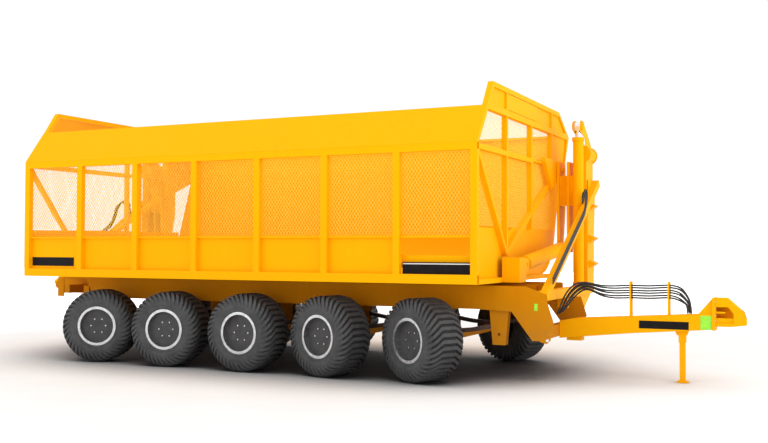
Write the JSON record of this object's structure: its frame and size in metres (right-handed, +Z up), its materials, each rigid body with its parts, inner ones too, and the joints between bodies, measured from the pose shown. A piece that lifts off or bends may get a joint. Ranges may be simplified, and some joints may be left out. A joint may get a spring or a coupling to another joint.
{
  "type": "side-tipping transfer trailer",
  "caption": "High-lift side-tipping crop transfer trailer: steered bogie axles, mesh-sided bin, end lift towers, tipping cylinders, drawbar and jack.",
  "frame": {"origin": "centre of the bounding box's bottom face, on the ground", "axes": "+X along the trailer to the drawbar, +Y to the tipping side, +Z up"},
  "size_m": [12.129, 4.9846, 4.23],
  "materials": {
    "yellow_paint": "gloss",
    "amber_paint": "satin",
    "mesh_paint": "satin",
    "disc_paint": "satin",
    "spring_steel": "satin",
    "zinc": "satin",
    "rod_chrome": "polished",
    "hose_rubber": "matte",
    "tyre_rubber": "matte"
  },
  "bodies": {
    "chassis": {"chassis_rails": "amber_paint", "cross_members": "amber_paint", "side_plates": "amber_paint", "leaf_springs": "spring_steel", "axle_beams": "amber_paint", "drawbar": "yellow_paint", "hitch_head": "yellow_paint", "hitch_bolts": "zinc", "hose_stands": "yellow_paint", "hydraulic_hoses": "hose_rubber", "lift_towers": "yellow_paint", "lift_barrels": "yellow_paint"},
    "jack": {"jack_leg": "yellow_paint"},
    "carriage": {"lift_carriages": "yellow_paint", "lift_rods": "rod_chrome"},
    "bin": {"bin_floor": "yellow_paint", "far_wall": "yellow_paint", "near_frame": "yellow_paint", "lower_panels": "yellow_paint", "roof_panel": "yellow_paint", "mesh_panels": "mesh_paint", "end_frames": "yellow_paint", "end_plates": "yellow_paint", "pivot_brackets": "yellow_paint"},
    "front_barrel": {"tip_barrel_front": "yellow_paint"},
    "front_rod": {"tip_rod_front": "rod_chrome"},
    "rear_barrel": {"tip_barrel_rear": "yellow_paint"},
    "rear_rod": {"tip_rod_rear": "rod_chrome"},
    "wheel_5_near": {"rim_5_near": "disc_paint", "tyre_5_near": "tyre_rubber"},
    "knuckle_5_near": {"knuckle_5_near": "amber_paint"},
    "wheel_5_far": {"rim_5_far": "disc_paint", "tyre_5_far": "tyre_rubber"},
    "knuckle_5_far": {"knuckle_5_far": "amber_paint"},
    "tie_rod_5": {"tie_rod_5": "zinc"},
    "wheel_4_near": {"rim_4_near": "disc_paint", "tyre_4_near": "tyre_rubber"},
    "knuckle_4_near": {"knuckle_4_near": "amber_paint"},
    "wheel_4_far": {"rim_4_far": "disc_paint", "tyre_4_far": "tyre_rubber"},
    "knuckle_4_far": {"knuckle_4_far": "amber_paint"},
    "tie_rod_4": {"tie_rod_4": "zinc"},
    "wheel_3_near": {"rim_3_near": "disc_paint", "tyre_3_near": "tyre_rubber"},
    "wheel_3_far": {"rim_3_far": "disc_paint", "tyre_3_far": "tyre_rubber"},
    "wheel_2_near": {"rim_2_near": "disc_paint", "tyre_2_near": "tyre_rubber"},
    "knuckle_2_near": {"knuckle_2_near": "amber_paint"},
    "wheel_2_far": {"rim_2_far": "disc_paint", "tyre_2_far": "tyre_rubber"},
    "knuckle_2_far": {"knuckle_2_far": "amber_paint"},
    "tie_rod_2": {"tie_rod_2": "zinc"},
    "wheel_1_near": {"rim_1_near": "disc_paint", "tyre_1_near": "tyre_rubber"},
    "knuckle_1_near": {"knuckle_1_near": "amber_paint"},
    "wheel_1_far": {"rim_1_far": "disc_paint", "tyre_1_far": "tyre_rubber"},
    "knuckle_1_far": {"knuckle_1_far": "amber_paint"},
    "tie_rod_1": {"tie_rod_1": "zinc"}
  },
  "joints": [
    {"name": "jack_slide", "type": "slide", "parent": "chassis", "child": "jack", "axis": [0, 0, 1], "range_m": [0, 0.28]},
    {"name": "lift", "type": "slide", "parent": "chassis", "child": "carriage", "axis": [0, 0, 1], "range_m": [0, 1.2]},
    {"name": "tip", "type": "hinge", "parent": "carriage", "child": "bin", "pos_m": [2.8345, 1.63448, 3.2], "axis": [-1, 0, 0], "range_deg": [0, 90]},
    {"name": "front_barrel_pivot", "type": "hinge", "parent": "bin", "child": "front_barrel", "pos_m": [3.0045, -0.85552, 1.64], "axis": [1, 0, 0], "range_deg": [0, 15.69]},
    {"name": "front_rod_slide", "type": "slide", "parent": "front_barrel", "child": "front_rod", "axis": [0, 0.9944, 0.106], "range_m": [0, 1.6279]},
    {"name": "rear_barrel_pivot", "type": "hinge", "parent": "bin", "child": "rear_barrel", "pos_m": [-5.4955, -0.85552, 1.64], "axis": [1, 0, 0], "range_deg": [0, 15.69]},
    {"name": "rear_rod_slide", "type": "slide", "parent": "rear_barrel", "child": "rear_rod", "axis": [0, 0.9944, 0.106], "range_m": [0, 1.6279]},
    {"name": "steer_5_near", "type": "hinge", "parent": "chassis", "child": "knuckle_5_near", "pos_m": [2.0645, -1.65552, 0.5875], "axis": [0, 0, 1], "range_deg": [-2, 52]},
    {"name": "spin_5_near", "type": "hinge", "parent": "knuckle_5_near", "child": "wheel_5_near", "pos_m": [1.89968, -2.00898, 0.5875], "axis": [0.4226, 0.9063, 0], "continuous": true},
    {"name": "steer_5_far", "type": "hinge", "parent": "chassis", "child": "knuckle_5_far", "pos_m": [2.0645, 0.72448, 0.5875], "axis": [0, 0, 1], "range_deg": [-2.05, 52.05]},
    {"name": "spin_5_far", "type": "hinge", "parent": "knuckle_5_far", "child": "wheel_5_far", "pos_m": [2.22932, 1.07794, 0.5875], "axis": [0.4226, 0.9063, 0], "continuous": true},
    {"name": "tie_5", "type": "hinge", "parent": "knuckle_5_far", "child": "tie_rod_5", "pos_m": [1.81073, 0.84282, 0.5275], "axis": [0, 0, 1], "range_deg": [-52.05, 2.05]},
    {"name": "steer_4_near", "type": "hinge", "parent": "chassis", "child": "knuckle_4_near", "pos_m": [0.5445, -1.65552, 0.5875], "axis": [0, 0, 1], "range_deg": [-1.25, 31.25]},
    {"name": "spin_4_near", "type": "hinge", "parent": "knuckle_4_near", "child": "wheel_4_near", "pos_m": [0.44356, -2.03223, 0.5875], "axis": [0.2588, 0.9659, 0], "continuous": true},
    {"name": "steer_4_far", "type": "hinge", "parent": "chassis", "child": "knuckle_4_far", "pos_m": [0.5445, 0.72448, 0.5875], "axis": [0, 0, 1], "range_deg": [-1.25, 31.25]},
    {"name": "spin_4_far", "type": "hinge", "parent": "knuckle_4_far", "child": "wheel_4_far", "pos_m": [0.64544, 1.10119, 0.5875], "axis": [0.2588, 0.9659, 0], "continuous": true},
    {"name": "tie_4", "type": "hinge", "parent": "knuckle_4_far", "child": "tie_rod_4", "pos_m": [0.27404, 0.79695, 0.5275], "axis": [0, 0, 1], "range_deg": [-31.25, 1.25]},
    {"name": "spin_3_near", "type": "hinge", "parent": "chassis", "child": "wheel_3_near", "pos_m": [-0.9755, -2.04552, 0.5875], "axis": [0, 1, 0], "continuous": true},
    {"name": "spin_3_far", "type": "hinge", "parent": "chassis", "child": "wheel_3_far", "pos_m": [-0.9755, 1.11448, 0.5875], "axis": [0, 1, 0], "continuous": true},
    {"name": "steer_2_near", "type": "hinge", "parent": "chassis", "child": "knuckle_2_near", "pos_m": [-2.4955, -1.65552, 0.5875], "axis": [0, 0, 1], "range_deg": [-20.85, 0.85]},
    {"name": "spin_2_near", "type": "hinge", "parent": "knuckle_2_near", "child": "wheel_2_near", "pos_m": [-2.42778, -2.03959, 0.5875], "axis": [-0.1736, 0.9848, 0], "continuous": true},
    {"name": "steer_2_far", "type": "hinge", "parent": "chassis", "child": "knuckle_2_far", "pos_m": [-2.4955, 0.72448, 0.5875], "axis": [0, 0, 1], "range_deg": [-20.85, 0.85]},
    {"name": "spin_2_far", "type": "hinge", "parent": "knuckle_2_far", "child": "wheel_2_far", "pos_m": [-2.56322, 1.10856, 0.5875], "axis": [-0.1736, 0.9848, 0], "continuous": true},
    {"name": "tie_2", "type": "hinge", "parent": "knuckle_2_far", "child": "tie_rod_2", "pos_m": [-2.77125, 0.67586, 0.5275], "axis": [0, 0, 1], "range_deg": [-0.85, 20.85]},
    {"name": "steer_1_near", "type": "hinge", "parent": "chassis", "child": "knuckle_1_near", "pos_m": [-4.0155, -1.65552, 0.5875], "axis": [0, 0, 1], "range_deg": [-45.81, 1.81]},
    {"name": "spin_1_near", "type": "hinge", "parent": "knuckle_1_near", "child": "wheel_1_near", "pos_m": [-3.8694, -2.01712, 0.5875], "axis": [-0.3746, 0.9272, 0], "continuous": true},
    {"name": "steer_1_far", "type": "hinge", "parent": "chassis", "child": "knuckle_1_far", "pos_m": [-4.0155, 0.72448, 0.5875], "axis": [0, 0, 1], "range_deg": [-45.81, 1.81]},
    {"name": "spin_1_far", "type": "hinge", "parent": "knuckle_1_far", "child": "wheel_1_far", "pos_m": [-4.1616, 1.08608, 0.5875], "axis": [-0.3746, 0.9272, 0], "continuous": true},
    {"name": "tie_1", "type": "hinge", "parent": "knuckle_1_far", "child": "tie_rod_1", "pos_m": [-4.27511, 0.61959, 0.5275], "axis": [0, 0, 1], "range_deg": [-1.81, 45.81]}
  ],
  "couplings": [
    {"joint": "front_barrel_pivot", "follows": "tip", "ratio": 0.17379},
    {"joint": "front_rod_slide", "follows": "tip", "m_per_rad": 1.0351},
    {"joint": "rear_barrel_pivot", "follows": "tip", "ratio": 0.17379},
    {"joint": "rear_rod_slide", "follows": "tip", "m_per_rad": 1.0351},
    {"joint": "steer_5_far", "follows": "steer_5_near", "ratio": 1},
    {"joint": "tie_5", "follows": "steer_5_near", "ratio": -1},
    {"joint": "steer_4_near", "follows": "steer_5_near", "ratio": 0.6},
    {"joint": "steer_4_far", "follows": "steer_5_near", "ratio": 0.6},
    {"joint": "tie_4", "follows": "steer_5_near", "ratio": -0.6},
    {"joint": "steer_2_near", "follows": "steer_5_near", "ratio": -0.4},
    {"joint": "steer_2_far", "follows": "steer_5_near", "ratio": -0.4},
    {"joint": "tie_2", "follows": "steer_5_near", "ratio": 0.4},
    {"joint": "steer_1_near", "follows": "steer_5_near", "ratio": -0.88},
    {"joint": "steer_1_far", "follows": "steer_5_near", "ratio": -0.88},
    {"joint": "tie_1", "follows": "steer_5_near", "ratio": 0.88}
  ]
}
